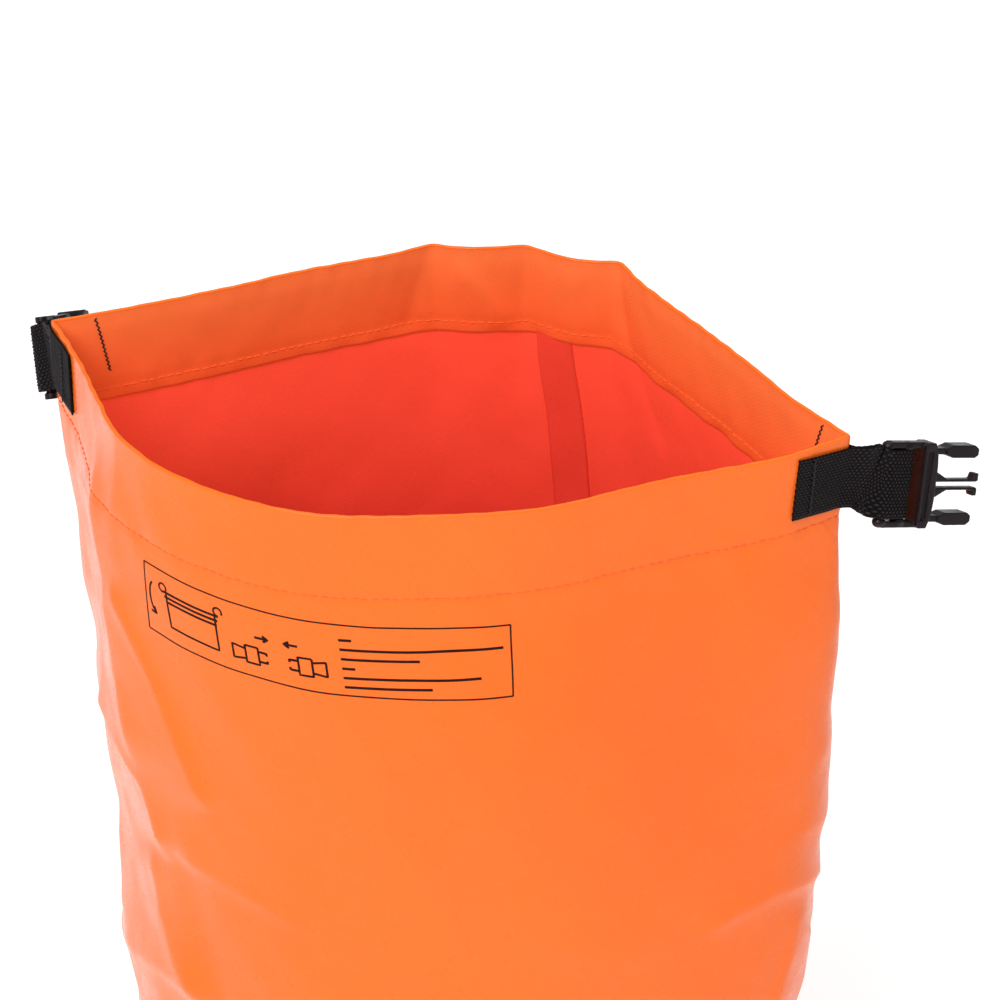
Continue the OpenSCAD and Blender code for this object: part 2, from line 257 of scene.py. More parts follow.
def outward(outline, sigma):
    """Unit normals of the outline, from a smoothed copy of it."""
    soft = soften(outline, sigma)
    ahead = np.roll(soft, -1, axis=0) - np.roll(soft, 1, axis=0)
    return unit(np.stack([ahead[:, 1], -ahead[:, 0]], axis=1))


def lean(depth):
    """How far the bag leans towards +X, above what its CAD wall does."""
    return (3.4 * math.exp(-((depth - 200) / 90) ** 2) + 0.5 * math.exp(-((depth - 105) / 50) ** 2)
            - 2.6 * math.exp(-((depth - 38) / 26) ** 2))


def section(depth):
    """The bag's outline at a depth below the rim, before its creases."""
    rise = max(0.0, (RIM_Z - depth - ROUND_TOP) / (RIM_Z - ROUND_TOP))
    k = rise ** FULLNESS
    sigma = 1.1 + 16 * step(depth, 20, 160) + 26 * step(depth, 120, 420)
    line = (1 - k) * circle + k * soften(rim, sigma)
    line *= 1 + (GIRTH / girth_of(line) - 1) * step(depth, 0, 60)
    line[:, 0] += SWAY * math.sin(math.pi * rise) + lean(depth)
    return line


# ---- creases and folds in the fabric -----------

def noise_field(a, d, size, seed, count=14):
    """Smooth noise of about the given size, the same all the way round."""
    waves = np.random.default_rng(seed)
    total = np.zeros(np.broadcast(a, d).shape)
    for _ in range(count):
        turns = max(1, round(GIRTH / size * waves.uniform(0.5, 1.3)))
        down = waves.uniform(-1.2, 1.2) * 2 * math.pi / size
        total += np.sin(2 * math.pi * turns * a / GIRTH + down * d + waves.uniform(0, 2 * math.pi))
    return total / math.sqrt(count)


def crease(a, d, line, height, left, right, fade, sharp=0.8):
    """Height of a crease at each point, falling off to the left and right of its direction."""
    p = np.asarray(line, float)
    s = distances(p)
    best = np.full(a.shape, 1e9)
    side, place = np.zeros(a.shape), np.zeros(a.shape)
    for i in range(len(p) - 1):
        e = p[i + 1] - p[i]
        length = np.linalg.norm(e)
        da = (a - p[i][0] + GIRTH / 2) % GIRTH - GIRTH / 2
        dd = d - p[i][1]
        t = np.clip((da * e[0] + dd * e[1]) / length**2, 0, 1)
        ox, oy = da - t * e[0], dd - t * e[1]
        dist = np.hypot(ox, oy)
        near = dist < best
        best = np.where(near, dist, best)
        side = np.where(near, e[0] * oy - e[1] * ox, side)
        place = np.where(near, s[i] + t * length, place)
    width = left + (right - left) * step(side / np.maximum(best, 1e-6) / 20, -0.5, 0.5)
    body = np.exp(-(np.sqrt(best**2 + sharp**2) - sharp) / width)
    return height * body * (step(place, 0, fade) * step(s[-1] - place, 0, fade))


# Each is a line on the flat fabric, of points (distance round the bag, depth
# below the rim), with its height, how wide it falls off to its left and right,
# the length over which its ends fade, and how round its ridge is.
CREASES = [
    # socket side: the flank's soft front edge, from the hem down to the fold
    ([(60, 14), (69, 38), (73, 66), (78, 105), (84, 128), (90, 150)], 6.0, 19, 30, 30, 1.6),
    # a facet that narrows to a point beside it
    ([(78, 60), (93, 80), (104, 96), (111, 111), (118, 127), (126, 141)], 3.0, 4.5, 17, 12, 0.6),
    # the sharp fold that starts in the notch at the silhouette
    ([(36, 134), (50, 137), (71, 139), (87, 148), (94, 164), (98, 178)], 4.2, 16, 14, 14, 0.5),
    ([(101, 169), (116, 168), (143, 170), (165, 176)], 1.5, 13, 3.6, 12, 0.8),
    # the crumpled part below it
    ([(82, 176), (91, 204), (102, 220), (122, 236)], 2.2, 10, 13, 14, 1.0),
    ([(-10, 262), (43, 252), (88, 232), (124, 224)], 4.6, 30, 14, 18, 1.5),
    ([(30, 196), (38, 222), (46, 248)], 1.6, 10, 10, 16, 2),
    # both flanks are fuller below the fold
    ([(-8, 78), (-8, 124)], 1.6, 24, 24, 18, 8),
    ([(-8, 124), (0, 166), (6, 212)], 5.2, 26, 26, 28, 8),
    ([(388, 111), (388, 150), (388, 185)], 2.6, 28, 28, 24, 8),
    ([(386, 200), (386, 264)], 1.4, 28, 28, 18, 8),
    # plug side
    ([(300, 193), (318, 188), (338, 185), (362, 191), (386, 197)], 2.3, 15, 4.5, 16, 0.7),
    ([(366, 200), (351, 206), (347, 224), (341, 242), (334, 266)], 2.2, 18, 7, 16, 1.2),
    ([(340, 160), (372, 168), (396, 166)], 0.9, 10, 5, 18),
    ([(322, 18), (334, 70), (346, 130)], 1.0, 14, 14, 36, 5),
    ([(221, 176), (262, 186), (308, 196)], 1.1, 18, 12, 34, 5),
    ([(273, 208), (361, 244)], 0.35, 2.6, 2.6, 18),
    # back, near its kinks in the rim
    ([(519, -12), (513, 18), (500, 46), (490, 74)], 2.4, 5, 8, 14),
    ([(556, -12), (553, 20), (549, 48)], 1.5, 5, 6, 14),
    ([(590, -12), (598, 18), (604, 44)], 1.8, 9, 7, 14, 2),
    ([(584, 4), (571, 20), (557, 40)], -1.6, 6, 4, 12, 2),
    ([(536, 2), (534, 26), (530, 46)], -1.0, 3, 4, 10),
    # back face and lower body, seen from the other sides
    ([(398, 168), (440, 176), (496, 168)], 3.6, 20, 10, 34),
    ([(404, 214), (450, 226), (520, 236)], -3.0, 18, 16, 36, 5),
    ([(560, 150), (606, 170), (670, 172), (704, 162)], 3.6, 20, 9, 34),
    ([(640, 214), (688, 230), (724, 236)], -3.0, 20, 18, 36, 5),
    ([(470, 60), (452, 118), (436, 172)], 1.8, 16, 14, 36, 5),
    ([(652, 60), (664, 118), (672, 170)], 1.8, 16, 14, 36, 5),
    ([(150, 262), (208, 276), (262, 268)], 1.8, 18, 9, 36, 2),
    ([(548, 268), (610, 284), (668, 272)], 2.2, 18, 9, 36, 2),
    ([(330, 330), (372, 342), (430, 336)], 3.0, 22, 10, 34, 2),
    ([(-52, 336), (-6, 344), (56, 338)], 3.0, 22, 10, 34, 2),
    ([(90, 372), (150, 388), (214, 382)], 2.0, 20, 9, 34, 2),
    ([(250, 404), (306, 396), (352, 376)], 2.0, 20, 9, 34, 2),
    ([(460, 384), (524, 396), (590, 388)], 2.2, 20, 9, 34, 2),
    ([(620, 436), (676, 428), (724, 410)], 2.0, 18, 9, 34, 2),
    ([(372, 250), (374, 330), (368, 420)], 1.6, 14, 14, 50, 5),
    ([(2, 262), (-4, 340), (4, 420)], 1.6, 14, 14, 50, 5),
]


def relief(a, d):
    """How far the fabric stands out from its smooth section, all creases together."""
    total = np.zeros(a.shape)
    for one in CREASES:
        total += crease(a, d, *one)
    body = step(d, 30, 110)
    total += 0.9 * body * noise_field(a, d, 150, 3) + 0.22 * body * noise_field(a, d, 52, 5)
    total += 0.10 * noise_field(a, d, 22, 8)
    # fine wrinkles along the folded rim
    total += 0.13 * np.exp(-d / 12.0) * noise_field(a, d * 0.6, 11, 9)
    # the hem: a dip along the stitches with small puckers either side of it
    line = np.exp(-((d - STITCH_DROP) / 1.1) ** 2)
    pucker = np.exp(-((d - STITCH_DROP) / 7.0) ** 2)
    total += -0.38 * line + 0.14 * pucker * noise_field(a, d * 0.3, 13, 11)
    # the welded foot: short upright puckers that die out upwards
    foot = np.exp(-np.maximum(0, (RIM_Z - BAND_H - 3) - d) / 16.0) * step(d, 460, 530)
    total += 0.7 * foot * noise_field(a, d * 0.05, 27, 13)
    # it runs straight into the base's band
    return total * step(RIM_Z - d, BAND_H - 1, BAND_H + 26)


# ---- the wall: rows of the outer face, from the rim down ---
depth_rows = np.concatenate([
    np.arange(0.0, 44.0, 1.6), np.arange(44.0, 320.0, 2.2), np.arange(320.0, RIM_Z - FOOT_Z, 2.9),
    [RIM_Z - FOOT_Z]])
sections = np.stack([section(d) for d in depth_rows])
normals = np.stack([outward(s, 4.0) for s in sections])
sections = sections + normals * relief(*np.meshgrid(arc, depth_rows))[..., None]
normals = np.stack([outward(s, 2.6) for s in sections])
# The rim isn't quite level: it dips between the kinks and lifts at the corners.
rim_wave = 0.35 * noise_field(arc, arc * 0, 90, 21, 8) + 0.7 * np.exp(-(((arc - GIRTH / 2) / 45) ** 2))


def wall(a, d, out):
    """Points on the bag: a round it, d below the rim, out millimetres off its face."""
    a, d, out = np.broadcast_arrays(np.asarray(a, float), np.asarray(d, float), np.asarray(out, float))
    x = (a / SPACING) % COLUMNS
    c0 = np.floor(x).astype(int) % COLUMNS
    c1, fx = (c0 + 1) % COLUMNS, x - np.floor(x)
    y = np.interp(d, depth_rows, np.arange(len(depth_rows)))
    r0 = np.minimum(np.floor(y).astype(int), len(depth_rows) - 2)
    fy = y - r0

    def along_row(table, row):
        return table[row, c0] * (1 - fx)[..., None] + table[row, c1] * fx[..., None]

    def at(table):
        return along_row(table, r0) * (1 - fy)[..., None] + along_row(table, r0 + 1) * fy[..., None]

    flat, normal = at(sections), at(normals)
    lift = (rim_wave[c0] * (1 - fx) + rim_wave[c1] * fx) * (1 - step(d, 0, 60))
    xy = flat + normal * out[..., None]
    return np.concatenate([xy, (RIM_Z - d + lift)[..., None]], axis=-1)


def wall_normal(a, d):
    return unit(wall(a, d, 1.0) - wall(a, d, 0.0))


# ---- materials, in metres ----------------------
CLOTH_PITCH, CLOTH_SLANT = 0.0013, math.radians(-38)     # the cloth's threads
CLOTH_GLOSS = 0.27                       # the coat's roughness
GLOW_FROM, GLOW_RISE = 0.42, 9.0         # height where the glow starts, and its rise per metre


def new_material(name, **settings):
    """A material of one shader, with a builder for the nodes that feed it."""
    material = bpy.data.materials.new(name)
    material.use_nodes = True
    material.node_tree.nodes.clear()
    n = Nodes(material.node_tree)
    shader = n.add("ShaderNodeBsdfPrincipled", **settings)
    n.add("ShaderNodeOutputMaterial", i0=shader)
    return material, n, shader


class Nodes:
    """Short calls for building a node tree. An input goes by its number (i0, i1) or its name."""

    def __init__(self, tree):
        self.tree = tree

    def add(self, kind, settings=(), **inputs):
        node = self.tree.nodes.new(kind)
        for key, value in dict(settings).items():
            setattr(node, key, value)
        self.feed(node, **inputs)
        return node

    def feed(self, node, **inputs):
        """Link a node or an output to each input, or set the input's value."""
        for key, value in inputs.items():
            numbered = key[0] == "i" and key[1:].isdigit()
            slot = node.inputs[int(key[1:]) if numbered else key.replace("_", " ")]
            if isinstance(value, bpy.types.Node):
                value = value.outputs[0]
            if isinstance(value, bpy.types.NodeSocket):
                self.tree.links.new(value, slot)
            else:
                slot.default_value = value

    def math(self, how, a, b=0.0):
        return self.add("ShaderNodeMath", {"operation": how}, i0=a, i1=b).outputs[0]

    def scaled(self, value, by, plus=0.0):
        return self.math("ADD", self.math("MULTIPLY", value, by), plus)

    def noise(self, where, scale, detail, rough=0.5):
        return self.add("ShaderNodeTexNoise", Vector=where, Scale=scale, Detail=detail,
                        Roughness=rough).outputs[0]

    def ramp(self, value, *stops):
        """A colour ramp of (place, colour), or of (place, brightness)."""
        node = self.add("ShaderNodeValToRGB", i0=value)
        ramp = node.color_ramp
        while len(ramp.elements) < len(stops):
            ramp.elements.new(0.5)
        for element, (place, colour) in zip(ramp.elements, stops):
            element.position = place
            element.color = (*(colour if isinstance(colour, tuple) else (colour,) * 3), 1)
        return node.outputs[0]

    def bump(self, height, distance, strength):
        return self.add("ShaderNodeBump", Height=height, Distance=distance, Strength=strength).outputs[0]


def times(colour, *factors):
    """The colour with each channel multiplied, by one factor or by three."""
    return tuple(c * f for c, f in zip(colour, factors * (3 // len(factors))))


def fabric_material(name, colour, glow=(0, 0), hem_shade_redden=0.0):
    """PVC-coated cloth: a fine diagonal weave under a semi-gloss coat."""
    material, n, shader = new_material(name, Specular_IOR_Level=0.26)
    flat = n.add("ShaderNodeUVMap", {"uv_map": "flat"}).outputs[0]
    place = n.add("ShaderNodeNewGeometry").outputs["Position"]
    # the cloth's threads lie at a slant
    turned = n.add("ShaderNodeMapping", Vector=flat, Rotation=(0, 0, CLOTH_SLANT))
    split = n.add("ShaderNodeSeparateXYZ", i0=turned)
    across = n.math("SINE", n.math("MULTIPLY", split.outputs[1], 2 * math.pi / CLOTH_PITCH))
    down = n.math("SINE", n.math("MULTIPLY", split.outputs[0], 2 * math.pi / CLOTH_PITCH * 0.42))
    weave = n.math("MULTIPLY", n.math("ADD", across, n.math("MULTIPLY", down, 0.35)),
                   n.math("ADD", n.noise(flat, 60, 2), 0.15))
    cloud = n.scaled(n.noise(place, 9, 3), 0.5, 0.25)
    shade = n.math("ADD", n.math("MULTIPLY", weave, 0.035), cloud)
    tint = n.ramp(shade, (0.25, times(colour, 0.93, 0.86, 0.84)), (0.5, colour),
                  (0.78, times(colour, 1, 1.13, 1.25)))
    grain = n.math("MULTIPLY", n.noise(flat, 2600, 2), 0.6)
    n.feed(shader, Base_Color=tint, Normal=n.bump(n.math("ADD", weave, grain), 0.00003, 0.55),
           Roughness=n.ramp(n.noise(place, 60, 4), (0.3, CLOTH_GLOSS - 0.05), (0.7, CLOTH_GLOSS + 0.07)))
    if max(glow) > 0:
        # a painted glow stands in for daylight coming through the cloth, most of it near the mouth
        high = n.add("ShaderNodeSeparateXYZ", i0=place).outputs[2]
        rise = n.math("MULTIPLY", n.math("SUBTRACT", high, GLOW_FROM), GLOW_RISE)
        n.feed(shader, Emission_Color=(*times(colour, 1, 1.7, 1), 1),
               Emission_Strength=n.ramp(rise, (0, glow[0]), (1, glow[1])))
    if hem_shade_redden:
        # painted shade: the hem's lower half is redder and darker than its upper half
        high = n.add("ShaderNodeSeparateXYZ", i0=place).outputs[2]
        up = n.math("MULTIPLY", n.math("SUBTRACT", high, (RIM_Z - HEM_DEPTH) * MM), 1000 / HEM_DEPTH)
        hem_shade_hue = n.ramp(up, (0, (1, 1 - hem_shade_redden, 1 - hem_shade_redden)), (1, (1, 1 + hem_shade_redden, 1 + hem_shade_redden)))
        n.feed(shader, Base_Color=n.add("ShaderNodeVectorMath", {"operation": "MULTIPLY"}, i0=tint, i1=hem_shade_hue))
    return material


def plastic_material(name, colour, rough, grain=0.00002, shine=0.5):
    """Moulded plastic: a fine even grain, polished a little where it is touched."""
    material, n, shader = new_material(name, Specular_IOR_Level=shine)
    place = n.add("ShaderNodeTexCoord").outputs["Object"]
    wear = n.noise(place, 130, 4)
    n.feed(shader, Base_Color=n.ramp(wear, (0.3, times(colour, 0.8)), (0.75, times(colour, 1.25))),
           Roughness=n.ramp(wear, (0.25, rough - 0.06), (0.8, rough + 0.12)),
           Normal=n.bump(n.noise(place, 2400, 3), grain, 0.6))
    return material


def webbing_material(name):
    """Woven yarn: its colour is dark between the yarns as painted shade, and lighter on their crowns as a painted
    dull shine.
    """
    material, n, shader = new_material(name, Roughness=0.55, Specular_IOR_Level=0.12)
    place = n.add("ShaderNodeTexCoord").outputs["Object"]
    crown = n.add("ShaderNodeAttribute", {"attribute_name": "crown"}).outputs["Fac"]
    fibre = n.noise(place, 2600, 3, 0.6)
    # painted shade and shine: the black yarn's colour follows the crown, dark in the gaps and lighter on the
    # crowns
    mixed = n.math("MULTIPLY", crown, n.scaled(fibre, 0.9, 0.5))
    n.feed(shader, Normal=n.bump(fibre, 0.00008, 0.6),
           Base_Color=n.ramp(mixed, (0.25, (0.0010, 0.0006, 0.0006)), (0.62, (0.0045, 0.0026, 0.0030)),
                             (0.95, (0.050, 0.034, 0.038))))
    return material


def thread_material(name, colour, rough=0.5, low=0.5, high=1.9):
    """Yarn: fine fibres, with a little sheen."""
    material, n, shader = new_material(name, Roughness=rough, Specular_IOR_Level=0.2, Sheen_Weight=0.03,
                                       Sheen_Roughness=0.4)
    place = n.add("ShaderNodeTexCoord").outputs["Object"]
    fibre = n.noise(place, 1500, 4, 0.65)
    mixed = n.math("ADD", n.math("MULTIPLY", fibre, 0.65), n.math("MULTIPLY", n.noise(place, 260, 2), 0.35))
    n.feed(shader, Normal=n.bump(fibre, 0.0001, 0.7),
           Base_Color=n.ramp(mixed, (0.3, times(colour, low)), (0.5, colour), (0.72, times(colour, high))))
    return material


FABRIC_MAT = fabric_material("coated_fabric", (0.98, 0.153, 0.009))
# The hem, the panel's inner face and the lap are the same cloth as the outer face, in copies whose colours are
# painted light and shade: the inner faces a deeper red of painted shade, each with a painted glow
HEM_GLOW_SHADE_MAT = fabric_material("coated_fabric_hem_painted_glow_and_shade", (0.94, 0.155, 0.044), glow=(0.10, 0.10), hem_shade_redden=0.3)
INSIDE_SHADE_MAT = fabric_material("coated_fabric_inside_painted_shade_and_glow", (0.83, 0.060, 0.038), glow=(0.0, 0.38))
LAP_SHADE_MAT = fabric_material("coated_fabric_lap_painted_shade_and_glow", (0.81, 0.060, 0.038), glow=(0.0, 0.14))
WEB_MAT = webbing_material("webbing_yarn_painted_shade_and_shine")
BUCKLE_MAT = plastic_material("buckle_plastic", (0.010, 0.0055, 0.0065), 0.3, shine=0.24)
BLADE_MAT = plastic_material("blade_plastic", (0.75, 0.75, 0.72), 0.4)
ORANGE_MAT = thread_material("orange_thread", (0.96, 0.17, 0.035), low=0.8, high=1.02)
BLACK_MAT = thread_material("black_thread", (0.012, 0.011, 0.012))
INK_MAT = plastic_material("printed_ink", (0.014, 0.004, 0.004), 0.6, 0.00001, shine=0.1)


# ---- the tube with its folded hem --------------

def hem_thickness(a, d):
    """Outer face to the hem's inner face: thicker over the blade, drawn in at the stitches."""
    front = step(a, 8, 24) * (1 - step(a, 346, 362))
    full = FOLD_T + (0.4 + 0.5 * front) * step(d, 0.5, 8)
    drawn = 0.5 * np.exp(-((d - STITCH_DROP) / 2.2) ** 2)
    edge = step(d, STITCH_DROP + 1, HEM_DEPTH)
    return full - drawn - 0.4 * edge + 0.25 * edge * noise_field(a, d * 0.1, 18, 31)


def build_tube():
    outer = [(d, 0.0, False) for d in depth_rows[::-1] if d > 1.2] + [(1.0, 0.0, False), (0.75, 0.0, False)]
    bend = np.radians(np.linspace(0, 180, 9))
    fold = [(FOLD_H * (1 - math.sin(t)), 0.5 - 0.5 * math.cos(t), True) for t in bend]
    down = [(d, 1.0, True) for d in (0.75, 1.0, *np.arange(1.8, HEM_DEPTH, 1.4))] + [(HEM_DEPTH, 0.93, True)]
    points, uv = [], []

    def add(d, out, length):
        points.append(wall(arc, np.full(COLUMNS, d), out))
        uv.append(np.stack([arc, np.full(COLUMNS, length)], axis=1))

    for d, share, hem in outer + fold + down:
        thick = hem_thickness(arc, d) if hem else 0
        add(d, -share * thick, -d if share < 0.5 else d)
    # the raw edge, then up between the layers and down the panel's inner face
    add(HEM_DEPTH + 0.1, -(hem_thickness(arc, HEM_DEPTH) - 0.4), HEM_DEPTH)
    add(HEM_DEPTH, -(hem_thickness(arc, HEM_DEPTH) - 0.75), HEM_DEPTH)
    for d in np.arange(36, 3, -4):
        add(d, -(hem_thickness(arc, d) - 0.72), d)
    add(1.9, -0.5 * FOLD_T, 2)
    inner_start = len(points)
    for d in np.concatenate([np.arange(4, 40, 4), np.arange(40, 320, 3.6),
                             np.arange(320, RIM_Z - FOOT_Z, 6.0), [RIM_Z - FOOT_Z]]):
        add(d, -FABRIC * (0.86 if d < 38 else 1.0), -d)
    faces = grid_faces(len(points), COLUMNS, close_rows=True, close_columns=True)
    tube = make_mesh("dry_bag_tube", np.concatenate(points), faces, np.concatenate(uv))
    finish(tube, "bag", ["body_panel"], FABRIC_MAT)
    # the hem's inner face is lit through by a painted glow, with painted shade on its lower half, and the panel's
    # inner face is a deeper red of painted shade
    tube.data.materials.append(HEM_GLOW_SHADE_MAT)
    tube.data.materials.append(INSIDE_SHADE_MAT)
    row = np.arange(len(faces)) // COLUMNS
    index = (row >= len(outer) + len(fold)).astype(np.int32) + (row >= inner_start)
    tube.data.polygons.foreach_set("material_index", index.astype(np.int32))


def plate_on_wall(name, a_line, d_line, outer, inner):
    """A closed thin plate that follows the wall between two offsets from its face."""
    a, d = np.meshgrid(a_line, d_line)
    verts = np.concatenate([wall(a, d, outer).reshape(-1, 3), wall(a, d, inner).reshape(-1, 3)])
    face = grid_faces(*a.shape)
    index = np.arange(a.size).reshape(a.shape)
    ring = np.concatenate([index[0, :-1], index[:-1, -1], index[-1, :0:-1], index[:0:-1, 0]])
    after = np.roll(ring, -1)
    edge = np.stack([ring, ring + a.size, after + a.size, after], axis=1)
    uv = np.stack([a.ravel(), -d.ravel()], axis=1)
    faces = np.concatenate([face[:, ::-1], face + a.size, edge])
    return make_mesh(name, verts, faces, np.concatenate([uv, uv]))


def build_lap():
    a = np.linspace(LAP_A, LAP_A + LAP_W, 12)
    d = np.concatenate([np.arange(3.2, 40, 2.0), np.arange(40, RIM_Z - FOOT_Z, 3.6)])
    lap = plate_on_wall("side_lap_weld", a, d, -FABRIC - 0.05, -2 * FABRIC + 0.1)
    # the lap is painted the inner face's deeper red shade, with a little painted glow
    finish(lap, "bag", ["side_lap"], LAP_SHADE_MAT)


def build_blade():
    a, d = np.linspace(BLADE_FROM, BLADE_TO, 160), np.linspace(6, 30, 8)
    blade = plate_on_wall("stiffening_blade_strip", a, d, -0.85, -1.65)
    finish(blade, "bag", ["stiffening_blade"], BLADE_MAT)


def build_base():
    """The base: a nearly flat floor, a rounded heel and the band welded outside the tube."""
    angles = np.linspace(0, 2 * math.pi, 361)[:-1]
    a = angles * BASE_R
    floor_edge = BAND_R - HEEL_R - 2

    def heel(radius, turn):
        return [(BAND_R - HEEL_R + radius * math.cos(t), HEEL_R + radius * math.sin(t))
                for t in np.radians(turn)]

    profile = ([(r, 0.0) for r in np.linspace(FLOOR_R, floor_edge, 30)] + heel(HEEL_R, np.linspace(-90, 0, 9))
               + [(BAND_R, z) for z in np.linspace(5, BAND_H - 0.5, 9)]
               + [(BAND_R - 0.15, BAND_H - 0.1), (BAND_R - 0.65, BAND_H), (BAND_R - FABRIC, BAND_H - 0.4)]
               + [(BAND_R - FABRIC, z) for z in np.linspace(BAND_H - 3, 4, 5)]
               + heel(HEEL_R - FABRIC, np.linspace(0, -90, 7))
               + [(r, FABRIC) for r in np.linspace(floor_edge, FLOOR_R, 30)])
    verts, uv = [], []
    for r, z in profile:
        inner = 1 - step(r, 60, BAND_R - HEEL_R)
        lift = 0.9 * inner * (0.5 + 0.5 * np.sin(3 * angles + r / 21)) + 0.5 * (1 - step(r, 70, BAND_R - 5))
        band = step(z, 4, 9) * (r > BAND_R - 1.5)
        # weld marks: a shallow press line near each edge of the band, and small puckers
        press = -0.16 * math.exp(-((z - (BAND_H - 3)) / 0.8) ** 2) - 0.12 * math.exp(-((z - 7) / 1.2) ** 2)
        ripple = 0.10 * noise_field(a, np.full(a.shape, z * 0.1), 24, 41) + (press if r > BAND_R - 0.1 else 0)
        radius = r + band * ripple
        top = 0.25 * noise_field(a, a * 0, 60, 43) * (z > BAND_H - 3.5)
        verts.append(np.stack([radius * np.cos(angles), radius * np.sin(angles), z + lift + top], axis=1))
        uv.append(np.stack([a, np.full(a.shape, z - BAND_R + r if r < BAND_R - 3 else z)], axis=1))
    columns = len(angles)
    *quads, bottom, top = tube_faces(len(profile), columns)
    faces = flipped(quads) + [bottom, top]
    base = make_mesh("base_cup_weld", np.concatenate(verts), faces, np.concatenate(uv))
    finish(base, "bag", ["base_cup"], FABRIC_MAT)
    # its inner faces take the painted shade and painted glow of the panel's inner face
    base.data.materials.append(INSIDE_SHADE_MAT)
    crest = max(range(len(profile)), key=lambda i: profile[i][1])
    inner = np.arange(len(faces)) >= (crest + 1) * columns
    inner[-2] = False
    base.data.polygons.foreach_set("material_index", inner.astype(np.int32))


# ---- threads -----------------------------------

def capsule(start, end, radius, lift, normal, sides=8, rings=9):
    """A stitch: a thread from start to end that rises by lift in its middle."""
    side = unit(np.cross(unit(end - start), normal))
    up = np.cross(side, unit(end - start))
    t = np.linspace(0, 1, rings)
    width = radius * np.sqrt(np.clip(1 - (2 * t - 1) ** 6, 0.04, 1))
    centre = start + np.outer(t, end - start) + np.outer(lift * np.sin(math.pi * t), up)
    turn = np.linspace(0, 2 * math.pi, sides, endpoint=False)
    ring = np.outer(np.cos(turn), side) + np.outer(np.sin(turn), up)
    verts = (centre[:, None, :] + width[:, None, None] * ring[None, :, :]).reshape(-1, 3)
    return verts, tube_faces(rings, sides)


def build_hem_thread():
    pitch, stitch, parts = 3.5, 2.75, []
    count = round(GIRTH / pitch)
    jitter = rng.normal(0, 0.12, (count, 3))
    for inside in (False, True):
        for i in range(count):
            a0 = i * GIRTH / count + jitter[i, 0]
            a1 = a0 + stitch + jitter[i, 1]
            d = STITCH_DROP + jitter[i, 2]
            out = -hem_thickness(a0, d) - 0.1 if inside else 0.06
            normal = wall_normal((a0 + a1) / 2, d) * (-1 if inside else 1)
            parts.append(capsule(wall(a0, d, out), wall(a1, d, out), 0.2, 0.12, normal))
    # the cut end of the thread hangs below the plug's tab
    tail = curve_through([wall(363, 33, 0.5), wall(364, 36, 1.4), wall(366.5, 39, 2.2), wall(367.5, 43, 1.7),
                          wall(366, 46.5, 1.2)], 0.6)
    for p, q in zip(tail, tail[1:]):
        parts.append(capsule(p, q, 0.17, 0, np.array((0.0, -1.0, 0.2)), 6, 3))
    finish(join_parts("hem_stitching", parts), "bag", ["hem_thread"], ORANGE_MAT)


def build_tack(name, node, a_front, a_back, slant):
    """Zigzag rows through the webbing and the hem, on both faces; the back row slants inside."""
    parts, count = [], 24
    for a0 in (a_front, a_back):
        for inside in (False, True):
            top, bottom = (1.6, 25.0) if inside else (TAB_DROP + 1.2, TAB_DROP + WEB_W - 1.2)
            tilt = slant if inside and a0 == a_back else 0.5
            for i in range(count):
                d0 = top + (bottom - top) * i / count
                d1 = d0 + (bottom - top) / count * 1.25
                zig = 0.55 if i % 2 else -0.55
                a = a0 + tilt * (d0 - top) / (bottom - top)
                start, end = (wall(x, y, -hem_thickness(x, y) - 0.14 if inside else WEB_T + 0.38)
                              for x, y in ((a + zig, d0), (a - zig, d1)))
                normal = wall_normal(a0, d0) * (-1 if inside else 1)
                parts.append(capsule(start, end, 0.27, 0.12, normal, 7, 6))
    finish(join_parts(name, parts), "bag", [node], BLACK_MAT)


# ---- webbing -----------------------------------

WEAVE_H, WEAVE_LOW = 0.46, 0.17   # height of a yarn's crown, and how far it sinks between yarns
YARN_S, YARN_W = 1.55, 1.20       # the weave's repeat along the strip and across it


def weave_height(s, w):
    """Raised yarns of a plain webbing: short ovals in staggered columns."""
    stagger = 0.5 * (np.floor(w / YARN_W) % 2)
    long_wave = 0.5 + 0.5 * np.cos(2 * math.pi * (s / YARN_S + stagger))
    cross = np.sqrt(np.abs(np.sin(math.pi * w / YARN_W)))
    return WEAVE_H * (long_wave ** 0.7) * cross - WEAVE_LOW


